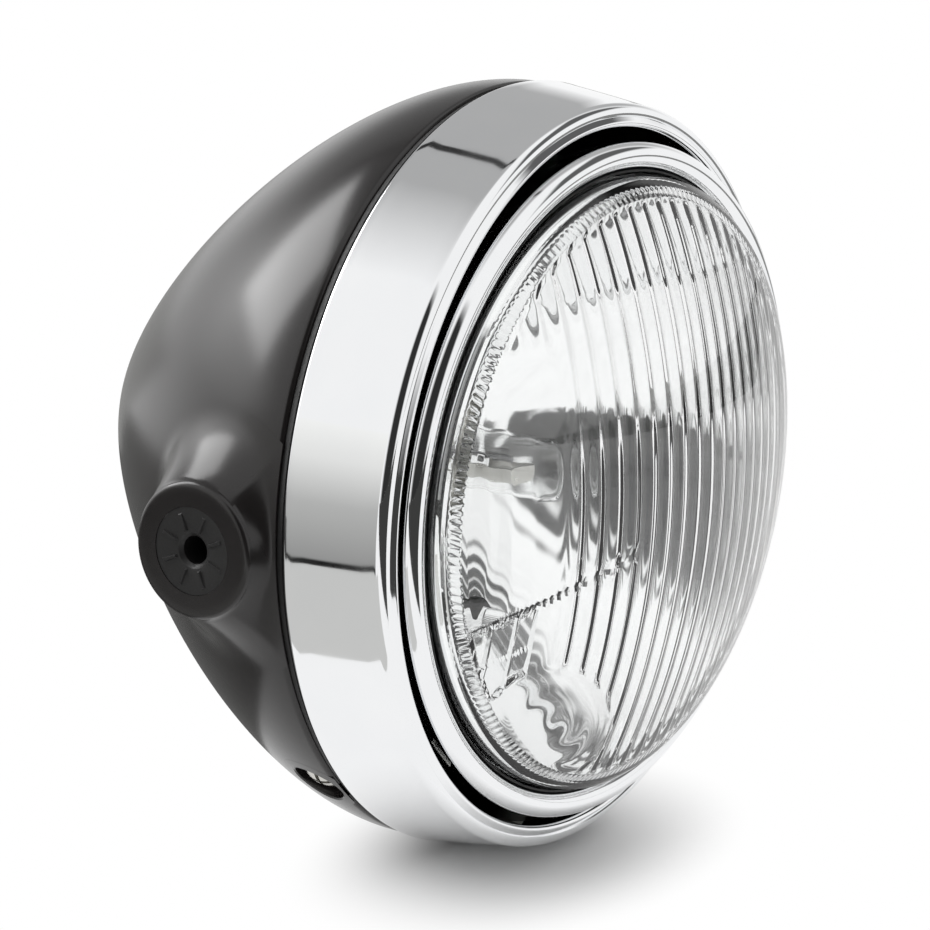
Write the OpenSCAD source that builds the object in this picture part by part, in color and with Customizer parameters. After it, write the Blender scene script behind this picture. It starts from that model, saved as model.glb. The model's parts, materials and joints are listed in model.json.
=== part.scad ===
// Round motorcycle headlight, sizes in millimetres.
// The light shines towards -Y and +Z is up.
// The origin is the middle of the line through both side mounting holes.
// Lengths along the lamp are measured from the seam between bowl and chrome ring, positive to the rear.

/* [Outer ring] */
// Outer diameter of the chrome ring at the seam
ring_d = 195; // [165:0.5:230]
// How much smaller the radius of the chrome ring is at its front edge
ring_taper = 3.5; // [2:0.1:4.5]
// Depth of the chrome ring from the seam to its front face
ring_depth = 26; // [23:0.5:32]
// Width of the front face of the ring, from its edge to its opening
face_w = 5.9; // [5.6:0.1:8]
// Sheet thickness of the chrome ring
ring_wall = 1; // [0.8:0.1:1.2]
// Radius of the rolled front corner of the ring
ring_roll = 2.6; // [1.8:0.1:2.8]
// Depth of the hem that turns back from the opening
hem_depth = 5; // [3:0.5:7]
// Radius of the bead round the opening
bead_r = 0.7; // [0.5:0.1:0.9]

/* [Bowl] */
// How much smaller the radius of the bowl is than that of the ring at the seam
bowl_step = 1; // [0.6:0.1:1.4]
// Depth of the bowl from the seam to its tail
bowl_depth = 119; // [105:1:135]
// Wall thickness of the bowl
bowl_wall = 2.2; // [1.8:0.1:2.6]
// How far the side of the bowl is drawn out behind the seam
bowl_swell = 8; // [5:0.5:10]
// How far back the straight side of the bowl is drawn
bowl_side = 37.5; // [32:0.5:44]
// Radius that the round tail of the bowl is drawn to
bowl_tail = 27.5; // [22:0.5:34]
// Radius of the punched mark on the near side of the bowl
mark_r = 3; // [2:0.5:4]
// Depth of the punched mark
mark_depth = 0.8; // [0.5:0.1:1.2]
// Distance of the punched mark behind the seam
mark_back = 31; // [29:0.5:34]
// Angle of the punched mark round the lamp's axis
mark_angle = 168; // [164:1:172]
// Width of the dark joint between the chrome ring and the bowl
seam_gap = 2; // [1.4:0.1:2.6]

/* [Cable inlet] */
// Place of the cable inlet along the drawn side of the bowl, from seam to tail
inlet_place = 0.7; // [0.66:0.01:0.74]
// Diameter of the cable hole in the bowl
inlet_d = 24; // [20:0.5:26]
// Diameter of the cable bore in the grommet
cable_bore_d = 12; // [8:0.5:13]
// Height of the grommet's flange over the bowl
grommet_flange_h = 3; // [2:0.5:4]
// Width of the grommet's flange round the hole
grommet_flange_w = 3; // [2:0.5:4]
// Height of the grommet's collar over its flange
grommet_collar_h = 4; // [2:0.5:6]
// Wall thickness of the grommet's collar
grommet_wall = 3.2; // [2:0.1:3.6]

/* [Side mounts] */
// Distance of the mounting line behind the seam
mount_back = 21.5; // [20:0.5:26]
// Height of the lamp's axis over the mounting line
axis_rise = 5; // [0:0.5:6]
// Height of the flat boss face over the side of the bowl
boss_proud = 8.9; // [7:0.1:12]
// Diameter of the flat face of a side boss
boss_d = 32.5; // [30:0.5:34]
// Diameter of the spread foot of a side boss
boss_foot_d = 68; // [60:1:74]
// How far the spread foot of a side boss reaches below the side of the bowl
boss_foot_drop = 9; // [8:0.5:11]
// How far the spread foot of a side boss reaches up its barrel
boss_foot_rise = 2.4; // [1:0.2:3]
// Radius of the edge of the boss face
boss_edge = 1; // [0.5:0.1:1.5]
// Diameter of the core hole of the thread, M8
thread_core_d = 6.8; // [6.6:0.1:7]
// Length of the threaded insert
insert_l = 22; // [18:0.5:24]
// Diameter of the body of the insert
insert_d = 13; // [12:0.5:14]
// Wall of the bowl round the insert
insert_wall = 3; // [2:0.5:3.5]
// Diameter of the toothed flange of the insert
insert_flange_d = 21; // [19:0.5:23]
// Thickness of the toothed flange of the insert
insert_flange_t = 3; // [2:0.5:4]
// Number of radial teeth on the face of the insert
insert_teeth = 8; // [6:1:12]
// Height of the radial teeth
tooth_h = 0.7; // [0.4:0.1:1]
// Width of the radial teeth
tooth_w = 1.3; // [1:0.1:1.8]

/* [Mounting ring] */
// Radial gap between the opening of the chrome ring and the mounting ring behind it
holder_gap = 1.4; // [1.2:0.1:1.5]
// Sheet thickness of the mounting ring
holder_wall = 1.5; // [1.2:0.1:1.6]
// How far the mounting ring reaches into the bowl
holder_reach = 14; // [13:0.5:15]
// Distance of the screwing flange ahead of the seam
flange_ahead = 6; // [5.5:0.1:6.5]
// Thickness of the flange, the bracket and the hook of the mounting ring
tab_t = 1.2; // [1:0.1:1.4]
// Number of screws that hold the chrome ring
lug_count = 3; // [3:3:3]
// Width of the lugs of the chrome ring
lug_w = 10; // [8:0.5:12]
// Shaft diameter of the screws in the lugs
lug_screw_d = 2.9; // [2.5:0.1:3]
// Head diameter of the screws in the lugs
lug_head_d = 4.6; // [4.2:0.1:4.8]
// Width of the hook at the top of the mounting ring
hook_w = 20; // [14:1:24]

/* [Ring screws] */
// Angle of the ring screws below the horizontal
ring_screw_angle = 46; // [42:1:52]
// Distance of the ring screws behind the seam
ring_screw_back = 10; // [9.5:0.1:10.5]
// Shaft diameter of the ring screws
ring_screw_d = 4.9; // [4:0.1:5]
// Head diameter of the ring screws
ring_head_d = 9.2; // [8:0.1:10]
// Head height of the ring screws
ring_head_h = 2.8; // [2.4:0.1:3]
// Width of the slots in the ring screws
slot_w = 1.1; // [0.8:0.1:1.4]
// Diameter of the recess round the head of a ring screw
recess_d = 13.6; // [12.5:0.1:15]
// Depth of the recess round the head of a ring screw
recess_depth = 3.4; // [3:0.1:3.6]
// Wall of the bowl under the recess
recess_wall = 1.3; // [1:0.1:1.4]

/* [Beam aim] */
// Angle that the optic is turned to about its upright pivots
aim_set = -2.5; // [-3:0.1:3]
// Furthest angle that the optic can be turned to either side
aim_limit = 3; // [3:0.1:3.2]
// Distance of the pivots ahead of the seam
pivot_ahead = 4; // [3.8:0.1:4.2]
// Pin diameter of the pivot screws
pivot_d = 5; // [4:0.1:5.5]
// Wall thickness of the pivot bushes
bush_wall = 1.65; // [1.4:0.05:1.9]
// Radial clearance of a pivot pin in its bush
pivot_clear = 0.05; // [0.02:0.01:0.1]
// Shaft diameter of the adjusting screw
adjuster_d = 3.5; // [3:0.1:3.6]
// Head diameter of the adjusting screw
adjuster_head_d = 6; // [5.4:0.1:6]
// Distance of the adjusting bracket behind the seam
adjuster_back = 8; // [7.5:0.1:8.2]
// Width of the adjusting bracket
bracket_w = 14; // [10:0.5:16]
// Outer diameter of the adjusting spring
spring_d = 5.2; // [5.1:0.1:5.6]
// Wire diameter of the adjusting spring
spring_wire = 0.7; // [0.5:0.1:0.8]
// Thickness of the adjusting nut
nut_t = 5; // [4:0.1:5]
// Width of the adjusting nut
nut_w = 9; // [8:0.5:10]
// Radial clearance of the adjusting screw in the nut, which tilts as it travels
nut_clear = 0.35; // [0.3:0.05:0.4]

/* [Inner rim] */
// Width of the black gap between the chrome ring and the inner rim
rim_gap = 3; // [2.8:0.1:3.4]
// Radius of the half-round roll at the front of the inner rim
rim_roll = 3.3; // [2.8:0.1:3.5]
// Distance of the roll's crest ahead of the seam
rim_ahead = 32.7; // [31.5:0.1:35]
// Depth of the inner rim from its crest to its rear edge
rim_depth = 15.7; // [15:0.1:16.4]
// Sheet thickness of the inner rim
rim_wall = 0.9; // [0.7:0.1:1.1]
// Sheet thickness of the retaining ring behind the glass
retainer_wall = 1.2; // [1:0.1:1.4]
// How far the retaining ring stands out behind the rim
retainer_reach = 5; // [4.5:0.1:5.2]
// Width of the clips that hold rim and retaining ring together
clip_w = 12; // [8:0.5:14]
// Sheet thickness of the clips
clip_t = 0.8; // [0.6:0.1:0.9]
// Width of the tongues that carry the pivot bushes
tongue_w = 13; // [11:0.5:15]

/* [Lens] */
// Width of the dark line between the inner rim and the glass
glass_gap = 0.6; // [0.4:0.1:0.9]
// Radial width of the serrated cone between shoulder and dome
cone_w = 3.8; // [3:0.1:4.6]
// Height of the serrated cone
cone_h = 2.9; // [2.4:0.1:3.4]
// Height of the plain shoulder over the flange
shoulder_h = 6.9; // [6.2:0.1:7.6]
// Height of the dome
dome_h = 17; // [14:0.5:20]
// Thickness of the glass
glass_t = 3.6; // [3.2:0.1:4]
// Radial clearance of the glass flange in the rim
flange_clear = 1.7; // [1.2:0.1:2.2]
// Thickness of the glass flange
glass_flange_t = 3.5; // [3:0.1:3.8]
// Thickness of the seal behind the glass
seal_t = 0.7; // [0.5:0.1:1]
// Spacing of the upright flutes inside the glass
flute_pitch = 6.2; // [5:0.1:8]
// Height of the upright flutes inside the glass
flute_h = 0.9; // [0.6:0.1:1.2]

/* [Reflector] */
// Distance of the reflector's vertex behind the seam
vertex_back = 30; // [28:0.5:34]
// Distance of the reflector's mouth from the inside of the glass
mouth_step = 2.1; // [1.6:0.1:3]
// Thickness of the reflector shell along the lamp's axis
reflector_t = 1.2; // [1:0.1:1.6]
// Thickness of the reflector's flange
flange_t = 0.8; // [0.7:0.1:1]
// Diameter of the bulb hole in the reflector
bulb_hole_d = 39.2; // [38:0.1:40]
// Width of the seat round the bulb hole
seat_w = 4.4; // [4:0.1:5]
// Depth of the collar that carries the seat
collar_h = 4; // [3:0.1:5]
// Sheet thickness of the collar and the seat
collar_wall = 1.2; // [1:0.1:1.4]
// Distance of the pilot lamp below the lamp's axis
pilot_drop = 44; // [42:0.5:46]
// Diameter of the pilot lamp's hole
pilot_d = 13.2; // [12:0.1:14]
// Depth of the pilot lamp's socket
socket_h = 9; // [8:0.5:10]

/* [Bulb] */
// Diameter of the bulb's glass envelope
envelope_d = 16; // [14:0.5:17]
// Thickness of the glass of the envelope
envelope_t = 0.9; // [0.7:0.1:1.2]
// Distance of the bulb's tip ahead of its flange
bulb_reach = 52; // [50:0.5:56]
// Length of the metal base ahead of the flange
base_front = 9; // [8:0.5:10]
// Length of the metal base behind the flange
base_rear = 9; // [8:0.5:11]
// Diameter of the metal base behind the flange
base_d = 27; // [25:0.5:28]
// Width of the bulb's flange on the seat
bulb_seat_w = 1.9; // [1.4:0.1:2.4]
// Thickness of the bulb's flange
bulb_flange_t = 1; // [0.8:0.1:1.2]
// Width of a blade
blade_w = 8; // [7:0.1:8.5]
// Thickness of a blade
blade_t = 0.8; // [0.6:0.1:1]
// Length of a blade
blade_l = 14; // [12:0.5:16]
// Distance of the blades from the axis
blade_out = 6.6; // [6:0.1:7]
// Radius of the holding spring
spring_clip_r = 17.6; // [17:0.1:18]
// Wire diameter of the holding spring
clip_wire = 1.4; // [1:0.1:1.6]
// Depth of the rubber cover from the seat to its mouth
boot_h = 17; // [16:0.5:20]
// Wall thickness of the rubber cover
boot_wall = 2.4; // [2:0.1:3]
// Diameter of the rubber cover's mouth
boot_mouth_d = 22.6; // [22.4:0.2:24]

/* [Hidden] */

// Facets of large turned pieces and of small ones
fine = 180;
small = 48;
// Overlap that makes a cut or a union clean
eps = 0.5;

ring_r = ring_d / 2;
ring_front_r = ring_r - ring_taper;
lip_r = ring_front_r - face_w;
bowl_r = ring_r - bowl_step;
holder_r = lip_r + holder_gap;
holder_out = holder_r + holder_wall;
rim_r = lip_r - rim_gap;
glass_r = rim_r - 2 * rim_roll - glass_gap;
dome_r = glass_r - cone_w;
glass_flange_r = rim_r - rim_wall - flange_clear;
retainer_r = rim_r - rim_wall - 0.1;

// Stations along the lamp, from the seam
pivot_u = -pivot_ahead;
roll_u = -rim_ahead + rim_roll;
rim_rear_u = -rim_ahead + rim_depth;
lens_front_u = roll_u + 0.9;
lens_rear_u = lens_front_u + glass_flange_t;
flange_u = lens_rear_u + seal_t;
retainer_u = flange_u + flange_t;
retainer_rear_u = rim_rear_u + retainer_reach;
dome_u = lens_front_u - shoulder_h - cone_h;
dome_sphere = (dome_r * dome_r + dome_h * dome_h) / (2 * dome_h);
dome_centre_u = dome_u - dome_h + dome_sphere;

// The reflector's curve, from its mouth to its vertex
mouth_r = glass_r - glass_t - mouth_step;
focal = mouth_r * mouth_r / (4 * (vertex_back - flange_u));
bulb_hole_r = bulb_hole_d / 2;
collar_r = bulb_hole_r + seat_w;
seat_u = vertex_back + collar_h;

// Puts a piece modelled round the lamp's axis, with the seam at zero, into its place
module lamp() {
    translate([0, -mount_back, axis_rise]) children();
}

// Turns the optic about its upright pivots to the angle that it is set to
module aimed() {
    lamp() translate([0, pivot_u, 0]) rotate([0, 0, aim_set]) translate([0, -pivot_u, 0]) children();
}

// Turns an outline of radius and station about the lamp's axis
module turned(facets = fine) {
    rotate([-90, 0, 0]) rotate_extrude($fn = facets) children();
}

// A cylinder along the lamp's axis from one station to another
module bar(r, from, to, facets = small) {
    translate([0, from, 0]) rotate([-90, 0, 0]) cylinder(h = to - from, r = r, $fn = facets);
}

// Puts a piece that points along +X at an angle round the lamp's axis
module at_angle(angle) {
    rotate([0, -angle, 0]) children();
}

// A cylinder that points away from the lamp's axis, between two radii
module spoke(r, from, to, facets = small) {
    translate([from, 0, 0]) rotate([0, 90, 0]) cylinder(h = to - from, r = r, $fn = facets);
}

// A block between two radii, two stations and across a width
module block(r0, r1, u0, u1, width) {
    translate([r0, u0, -width / 2]) cube([r1 - r0, u1 - u0, width]);
}

// Outline of the bowl as one drawn curve, set in by a wall thickness
function bowl_corner(inset) = [[bowl_r - inset, 0], [bowl_r - inset + bowl_swell, bowl_side],
    [bowl_tail - inset / 2, bowl_depth - inset], [0, bowl_depth - inset]];
function drawn(c, t) = pow(1 - t, 3) * c[0] + 3 * t * pow(1 - t, 2) * c[1]
    + 3 * t * t * (1 - t) * c[2] + pow(t, 3) * c[3];
function heading(c, t) = pow(1 - t, 2) * (c[1] - c[0]) + 2 * t * (1 - t) * (c[2] - c[1])
    + t * t * (c[3] - c[2]);
function place_at(c, u, lo = 0, hi = 1, n = 24) = n == 0 ? (lo + hi) / 2 : let (m = (lo + hi) / 2)
    drawn(c, m)[1] < u ? place_at(c, u, m, hi, n - 1) : place_at(c, u, lo, m, n - 1);
// Angle between the bowl's outward direction and the plane of the seam
function lean(c, t) = let (h = heading(c, t)) atan2(-h[0], h[1]);

bowl_steps = 40;
module bowl_form(inset, start) {
    c = bowl_corner(inset);
    side = [for (i = [0 : bowl_steps]) drawn(c, i / bowl_steps)];
    turned() polygon(concat([[0, start], [c[0][0], start]], side));
}

// A side boss: straight barrel, and a spread foot square to the side of the bowl
boss_place = place_at(bowl_corner(0), mount_back);
surface_r = drawn(bowl_corner(0), boss_place)[0];
face_x = surface_r + boss_proud;
boss_steps = 10;
module boss_form() {
    face_r = boss_d / 2;
    spread = boss_foot_d / 2 - face_r;
    base = -boss_foot_drop - 2;
    flank = [for (i = [0 : boss_steps]) let (s = i / boss_steps)
        [face_r + spread * s, (boss_foot_rise + boss_foot_drop) * pow(1 - s, 2.2) - boss_foot_drop]];
    rotate([0, 90, 0]) rotate_extrude($fn = 96) polygon([[0, face_x - insert_l], [0, face_x],
        [face_r - boss_edge, face_x], [face_r - boss_edge * 0.3, face_x - boss_edge * 0.3],
        [face_r, face_x - boss_edge], [face_r + 0.5, surface_r - 4], [face_r + 0.5, face_x - insert_l]]);
    translate([surface_r, 0, 0]) rotate([0, 0, lean(bowl_corner(0), boss_place)]) rotate([0, 90, 0])
        rotate_extrude($fn = 96)
            polygon(concat([[0, base], [0, boss_foot_rise]], flank, [[boss_foot_d / 2, base]]));
}

recess_floor = bowl_r - recess_depth;
hook_u = seam_gap + 4.2;
module bowl() {
    mark = drawn(bowl_corner(0), place_at(bowl_corner(0), mark_back));
    color([0.13, 0.13, 0.14])
    difference() {
        union() {
            difference() {
                union() {
                    lamp() bowl_form(0, 0);
                    boss_form();
                    mirror([1, 0, 0]) boss_form();
                }
                difference() {
                    lamp() bowl_form(bowl_wall, -eps);
                    for (side = [0, 180]) rotate([0, 0, side])
                        spoke(insert_d / 2 + insert_wall, face_x - insert_l, face_x);
                }
            }
            intersection() {
                lamp() bowl_form(eps, seam_gap);
                lamp() union() {
                    for (a = [-ring_screw_angle, ring_screw_angle - 180]) at_angle(a)
                        translate([0, ring_screw_back, 0])
                            spoke(recess_d / 2 + 1.6, recess_floor - recess_wall, ring_r);
                    at_angle(90)
                        block(recess_floor - recess_wall + 0.5, ring_r, hook_u - 2, hook_u, hook_w + 4);
                }
            }
        }
        lamp() bar(ring_r + 5, -20, seam_gap, fine);
        lamp() for (a = [-ring_screw_angle, ring_screw_angle - 180]) at_angle(a)
            translate([0, ring_screw_back, 0]) {
                spoke(recess_d / 2, recess_floor, ring_r + 5);
                spoke(ring_screw_d / 2 + 0.3, recess_floor - 5, ring_r);
            }
        for (side = [0, 180]) rotate([0, 0, side]) {
            spoke(insert_d / 2, face_x - insert_l - eps, face_x + eps);
            spoke(insert_flange_d / 2, face_x - insert_flange_t, face_x + eps);
        }
        lamp() at_angle(mark_angle) translate([mark[0] + mark_r - mark_depth, mark[1], 0])
            sphere(r = mark_r, $fn = small);
        inlet() bar(inlet_d / 2, -bowl_depth / 4, 20);
    }
}

module boss_insert() {
    color([0.1, 0.1, 0.11])
    difference() {
        union() {
            spoke(insert_d / 2, face_x - insert_l, face_x - insert_flange_t);
            spoke(insert_flange_d / 2, face_x - insert_flange_t, face_x - tooth_h);
            for (i = [0 : insert_teeth - 1]) rotate([(i + 0.5) * 360 / insert_teeth, 0, 0])
                translate([face_x - tooth_h - eps, -tooth_w / 2, thread_core_d / 2 + 1.6])
                    cube([tooth_h + eps - 0.1, tooth_w, insert_flange_d / 2 - thread_core_d / 2 - 2]);
        }
        spoke(thread_core_d / 2, face_x - insert_l - eps, face_x + eps);
        translate([face_x - tooth_h - 0.9, 0, 0]) rotate([0, 90, 0])
            cylinder(h = 0.9 + eps, r1 = thread_core_d / 2, r2 = thread_core_d / 2 + 0.9 + eps, $fn = small);
    }
}

module boss_insert_left() {
    rotate([0, 0, 180]) boss_insert();
}

module boss_insert_right() {
    boss_insert();
}

// Places a piece at the cable inlet, square to the side of the bowl, with the outside at zero
module inlet() {
    c = bowl_corner(0);
    p = drawn(c, inlet_place);
    lamp() translate([0, p[1], -p[0]]) rotate([lean(c, inlet_place) - 90, 0, 0]) children();
}

module cable_grommet() {
    bore_r = cable_bore_d / 2;
    foot = 2 * bowl_wall + 2;
    top = grommet_flange_h + grommet_collar_h;
    color([0.08, 0.08, 0.08])
    inlet() difference() {
        union() {
            bar(inlet_d / 2 - 0.03, -foot, grommet_flange_h);
            bar(inlet_d / 2 + grommet_flange_w, 1, grommet_flange_h);
            bar(bore_r + grommet_wall, grommet_flange_h - 1, top);
        }
        bar(bore_r, -foot - 1, top + 1);
    }
}

module seam_seal() {
    inner = bowl_r - bowl_wall;
    color([0.05, 0.05, 0.05])
    lamp() turned()
        polygon([[inner, 0], [ring_r - ring_wall / 2, 0], [bowl_r - 0.4, seam_gap], [inner, seam_gap]]);
}

// Half section of the chrome ring: tapered band, rolled corner, flat face with a bead, hem
module ring_outline(inset) {
    front = -ring_depth + inset;
    corner = ring_roll - inset;
    face_r = ring_front_r - ring_roll;
    difference() {
        union() {
            polygon([[lip_r + inset, front], [face_r, front], [face_r, -ring_depth + ring_roll],
                [ring_front_r - inset, -ring_depth + ring_roll], [ring_r - inset, 0], [lip_r + inset, 0]]);
            translate([face_r, -ring_depth + ring_roll]) circle(r = corner, $fn = small);
        }
        translate([lip_r - 10, -ring_depth - 10]) square([10 + inset, ring_depth + 20]);
    }
}

lug_angles = [for (i = [0 : lug_count - 1]) 45 + i * 360 / lug_count];
lug_r = holder_out + lug_head_d / 2 + 0.2;
module outer_ring() {
    hem_r = lip_r + ring_wall;
    color([0.86, 0.87, 0.88])
    lamp() difference() {
        union() {
            turned() difference() {
                union() {
                    ring_outline(0);
                    translate([lip_r + bead_r + 0.4, -ring_depth]) circle(r = bead_r, $fn = small);
                }
                ring_outline(ring_wall);
                translate([hem_r, -ring_depth + ring_wall]) square([3, ring_depth * 2]);
                translate([lip_r - 1, -ring_depth + hem_depth]) square([3, ring_depth * 2]);
                translate([lip_r - 1, -ring_depth + ring_wall]) square([1, ring_depth * 2]);
                translate([ring_front_r - ring_roll + 0.2, -ring_depth - 0.15]) circle(r = 0.4, $fn = small);
            }
            intersection() {
                for (a = lug_angles) at_angle(a)
                    block(holder_out + 0.4, ring_r, -flange_ahead - 6, -flange_ahead, lug_w);
                turned() ring_outline(ring_wall / 2);
            }
        }
        for (a = lug_angles) at_angle(a) translate([lug_r, 0, 0])
            bar(lug_screw_d / 2, -flange_ahead - 4, -flange_ahead + 1);
    }
}

adjuster_r = (retainer_r + holder_r) / 2 - 0.4;
module mounting_ring() {
    flange_r = lug_r + lug_head_d / 2 - 0.4;
    hook_front = hook_u + 0.3;
    bracket_r = adjuster_r - adjuster_head_d / 2 - 1.4;
    color([0.07, 0.07, 0.07])
    difference() {
        lamp() union() {
            turned() polygon([[holder_r, -ring_depth + ring_wall], [holder_out, -ring_depth + ring_wall],
                [holder_out, -flange_ahead], [flange_r, -flange_ahead], [flange_r, -flange_ahead + tab_t],
                [holder_out, -flange_ahead + tab_t], [holder_out, holder_reach], [holder_r, holder_reach]]);
            block(bracket_r, holder_r + 0.5, adjuster_back, adjuster_back + tab_t, bracket_w);
            at_angle(90) block(holder_r + 0.2, recess_floor + 0.8, hook_front, hook_front + tab_t, hook_w);
        }
        lamp() for (a = [90, -90]) at_angle(a) {
            translate([0, pivot_u, 0]) spoke(pivot_d / 2 + 0.02, holder_r - 2, holder_out + 2);
            block(holder_out, ring_r, -flange_ahead - 1, -flange_ahead + tab_t + 1, pivot_d + 7);
        }
        lamp() for (a = lug_angles) at_angle(a) translate([lug_r, 0, 0])
            bar(lug_screw_d / 2 + 0.2, -flange_ahead - 1, -flange_ahead + tab_t + 1);
        lamp() translate([adjuster_r, 0, 0])
            bar(adjuster_d / 2 + 0.1, adjuster_back - 1, adjuster_back + tab_t + 1);
        lamp() for (a = [-ring_screw_angle, ring_screw_angle - 180]) at_angle(a)
            translate([0, ring_screw_back, 0]) spoke(ring_screw_d / 2 + 0.3, holder_r - 2, holder_out + 2);
        for (side = [0, 180]) rotate([0, 0, side])
            spoke(insert_d / 2 + insert_wall + 1, holder_r - 9, holder_out + 2);
    }
}

module mounting_screws() {
    head_h = 1.9;
    length = 4;
    color([0.75, 0.75, 0.72])
    lamp() for (a = lug_angles) at_angle(a) translate([lug_r, -flange_ahead, 0]) difference() {
        union() {
            bar(lug_screw_d / 2, -length, tab_t);
            bar(lug_head_d / 2, tab_t, tab_t + head_h);
        }
        translate([-0.4, tab_t + head_h / 2, -lug_head_d]) cube([0.8, head_h, 2 * lug_head_d]);
    }
}

nut_gap = 0.35;
module ring_screw() {
    head_r = ring_head_d / 2;
    crown = head_r * 1.6;
    slot_l = ring_head_d * 0.62;
    color([0.78, 0.78, 0.77])
    difference() {
        union() {
            spoke(ring_screw_d / 2, holder_r - 5, recess_floor + 0.5);
            translate([recess_floor, 0, 0]) rotate([0, 90, 0]) rotate_extrude($fn = 96) intersection() {
                translate([0, ring_head_h - crown]) circle(r = crown, $fn = 180);
                square([head_r, ring_head_h]);
            }
        }
        for (turn = [0, 90]) rotate([turn, 0, 0])
            translate([recess_floor + ring_head_h - 1.6, -slot_l / 2, -slot_w / 2])
                cube([ring_head_h, slot_l, slot_w]);
    }
}

module ring_nut() {
    plate = 0.8;
    nut_r = ring_screw_d / 2 + 1.5;
    color([0.7, 0.7, 0.66])
    difference() {
        union() {
            block(holder_r - nut_gap - plate, holder_r - nut_gap, -ring_screw_d - 0.6, 3.5, 12);
            spoke(nut_r, holder_r - 4, holder_r - nut_gap - plate / 2);
        }
        spoke(ring_screw_d / 2 + 0.05, holder_r - 6, holder_r + 1);
    }
}

module ring_screw_left() {
    lamp() at_angle(ring_screw_angle - 180) translate([0, ring_screw_back, 0]) ring_screw();
}

module ring_screw_right() {
    lamp() at_angle(-ring_screw_angle) translate([0, ring_screw_back, 0]) ring_screw();
}

module ring_nut_left() {
    lamp() at_angle(ring_screw_angle - 180) translate([0, ring_screw_back, 0]) ring_nut();
}

module ring_nut_right() {
    lamp() at_angle(-ring_screw_angle) translate([0, ring_screw_back, 0]) ring_nut();
}

// The pivot pins hang and stand in the mounting ring and reach into the bushes
pin_tip = retainer_r - retainer_wall - 1.8;
bush_r = pivot_d / 2 + bush_wall;
module pivot_screw() {
    color([0.75, 0.75, 0.72])
    translate([0, pivot_u, 0]) difference() {
        union() {
            spoke(pivot_d / 2, pin_tip, holder_out + 0.5);
            spoke(pivot_d / 2 + 1.4, holder_out, holder_out + 2.4);
        }
        translate([holder_out + 1.4, -0.5, -5]) cube([2, 1, 10]);
    }
}

module pivot_screw_top() {
    lamp() at_angle(90) pivot_screw();
}

module pivot_screw_bottom() {
    lamp() at_angle(-90) pivot_screw();
}

module pivot_bush() {
    color([0.9, 0.89, 0.84])
    translate([0, pivot_u, 0]) difference() {
        spoke(bush_r, pin_tip - 0.5, holder_r - 0.3);
        spoke(pivot_d / 2 + pivot_clear, pin_tip - 1, holder_r);
    }
}

module pivot_bush_top() {
    aimed() at_angle(90) pivot_bush();
}

module pivot_bush_bottom() {
    aimed() at_angle(-90) pivot_bush();
}

// A collar on the screw stands clear of the nut at the end of its travel
collar_t = 0.8;
nut_out_r = holder_r - 0.6;
collar_u = pivot_u + nut_t / 2 + nut_out_r * sin(aim_limit) + 0.4;
screw_tip_u = pivot_u - nut_t / 2 - nut_out_r * sin(aim_limit) + 0.1;
module adjuster_screw() {
    head_u = adjuster_back + tab_t;
    head_h = 2.4;
    slot_l = adjuster_head_d * 0.64;
    color([0.75, 0.75, 0.72])
    lamp() translate([adjuster_r, 0, 0]) difference() {
        union() {
            bar(adjuster_d / 2, screw_tip_u, head_u + 0.5);
            bar(adjuster_head_d / 2, head_u, head_u + head_h);
        }
        for (turn = [0, 90]) rotate([0, turn, 0])
            translate([-slot_l / 2, head_u + head_h / 2, -0.4]) cube([slot_l, head_h, 0.8]);
    }
}

// Open coil with a few turns, swept as one skin round its helix
spring_turns = 3;
spring_sides = 8;
spring_rings = 16;
module adjuster_spring() {
    from = collar_u + collar_t;
    to = adjuster_back;
    coil_r = spring_d / 2 - spring_wire / 2;
    rings = spring_turns * spring_rings;
    n = spring_sides;
    function ring_point(i, j) = let (a = 360 * i / spring_rings, b = 360 * j / n,
        r = coil_r + spring_wire / 2 * cos(b)) [r * cos(a), r * sin(a),
        from + spring_wire / 2 + (to - from - spring_wire) * i / rings + spring_wire / 2 * sin(b)];
    skin = [for (i = [0 : rings - 1]) for (j = [0 : n - 1]) let (k = (j + 1) % n)
        [i * n + j, (i + 1) * n + j, (i + 1) * n + k, i * n + k]];
    color([0.7, 0.7, 0.72])
    lamp() translate([adjuster_r, 0, 0]) rotate([-90, 0, 0]) polyhedron(
        points = [for (i = [0 : rings]) for (j = [0 : n - 1]) ring_point(i, j)],
        faces = concat([[for (j = [0 : n - 1]) j]], skin, [[for (j = [0 : n - 1]) rings * n + n - 1 - j]]));
}

module adjuster_collar() {
    color([0.7, 0.7, 0.72])
    lamp() translate([adjuster_r, 0, 0]) difference() {
        bar(spring_d / 2 + 0.3, collar_u, collar_u + collar_t);
        bar(adjuster_d / 2, collar_u - 1, collar_u + 2);
    }
}

module adjuster_nut() {
    color([0.88, 0.87, 0.8])
    aimed() difference() {
        block(retainer_r, nut_out_r, pivot_u - nut_t / 2, pivot_u + nut_t / 2, nut_w);
        translate([adjuster_r, 0, 0])
            bar(adjuster_d / 2 + nut_clear, pivot_u - nut_t, pivot_u + nut_t);
    }
}

module inner_rim() {
    color([0.86, 0.87, 0.88])
    aimed() turned() translate([rim_r - rim_roll, roll_u]) difference() {
        union() {
            circle(r = rim_roll, $fn = 96);
            square([rim_roll, rim_rear_u - roll_u]);
        }
        circle(r = rim_roll - rim_wall, $fn = 96);
        translate([-2 * rim_roll, 0]) square([3 * rim_roll - rim_wall, rim_rear_u - roll_u + 1]);
    }
}

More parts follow.
